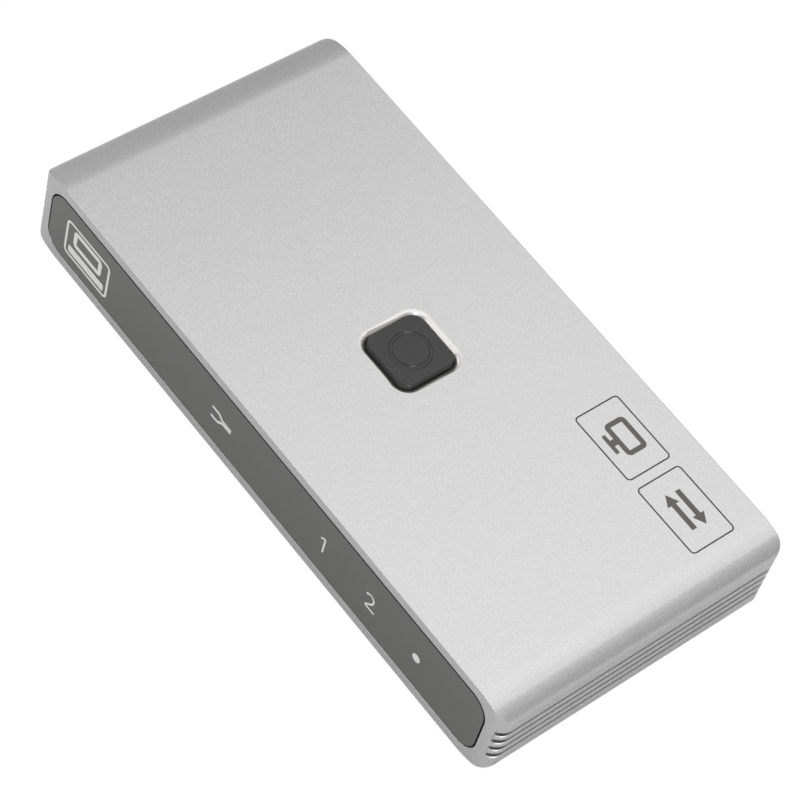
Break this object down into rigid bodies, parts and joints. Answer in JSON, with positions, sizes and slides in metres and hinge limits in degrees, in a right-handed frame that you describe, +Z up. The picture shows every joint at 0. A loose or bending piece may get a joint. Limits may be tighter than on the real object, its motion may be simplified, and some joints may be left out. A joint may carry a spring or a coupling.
{
  "type": "video switch box",
  "caption": "Slim silver metal box with rolled and grooved ends, a dark front panel, a square push button on top and sockets at the back, for switching video sources to a screen.",
  "frame": {"origin": "middle of the surface that the feet stand on", "axes": "+X along the length, to the right seen from the front panel; +Y from the front panel to the sockets; +Z up"},
  "size_m": [0.1, 0.0486, 0.016],
  "materials": {
    "sleeve_metal": "fine bead-blasted, silver anodised",
    "panel_tint": "smoke-tinted, satin face",
    "rear_panel_plastic": "dark grey, satin",
    "tape_film": "white adhesive film",
    "carrier_plastic": "black moulded plastic",
    "board_laminate": "green laminate",
    "socket_steel": "nickel-plated sheet",
    "insert_plastic": "black moulded plastic",
    "contact_gold": "gold-plated",
    "switch_steel": "tinned sheet",
    "plunger_plastic": "black moulded plastic",
    "button_plastic": "black, fine satin texture",
    "chip_resin": "moulded resin",
    "tinned_leads": "tinned",
    "capacitor_ceramic": "ceramic",
    "lamp_resin": "milky clear resin",
    "screw_steel": "black-plated steel",
    "foot_rubber": "soft black rubber"
  },
  "bodies": {
    "case": {"case_sleeve": "sleeve_metal", "front_panel": "panel_tint", "rear_panel": "rear_panel_plastic", "panel_tape": "tape_film", "front_carrier": "carrier_plastic", "main_board": "board_laminate", "input_1_shell": "socket_steel", "input_2_shell": "socket_steel", "output_shell": "socket_steel", "power_shell": "socket_steel", "input_1_insert": "insert_plastic", "input_2_insert": "insert_plastic", "output_insert": "insert_plastic", "power_insert": "insert_plastic", "switch_base": "insert_plastic", "input_1_contacts": "contact_gold", "input_2_contacts": "contact_gold", "output_contacts": "contact_gold", "power_contacts": "contact_gold", "switch_cover": "switch_steel", "switch_dome": "switch_steel", "switch_legs": "switch_steel", "switch_chip": "chip_resin", "voltage_regulator": "chip_resin", "surge_arrays": "chip_resin", "resistors": "chip_resin", "chip_leads": "tinned_leads", "regulator_leads": "tinned_leads", "led_leads": "tinned_leads", "filter_capacitors": "capacitor_ceramic", "led_1": "lamp_resin", "led_2": "lamp_resin", "led_power": "lamp_resin", "cover_screws": "screw_steel", "rubber_feet": "foot_rubber"},
    "button": {"button_cap": "button_plastic", "switch_plunger": "plunger_plastic"}
  },
  "joints": [
    {"name": "button_press", "type": "slide", "parent": "case", "child": "button", "axis": [0, 0, -1], "range_m": [0, 0.00025], "stiffness_N_per_m": 4500, "springref_m": -0.0001, "deforming": ["switch_dome"]}
  ]
}
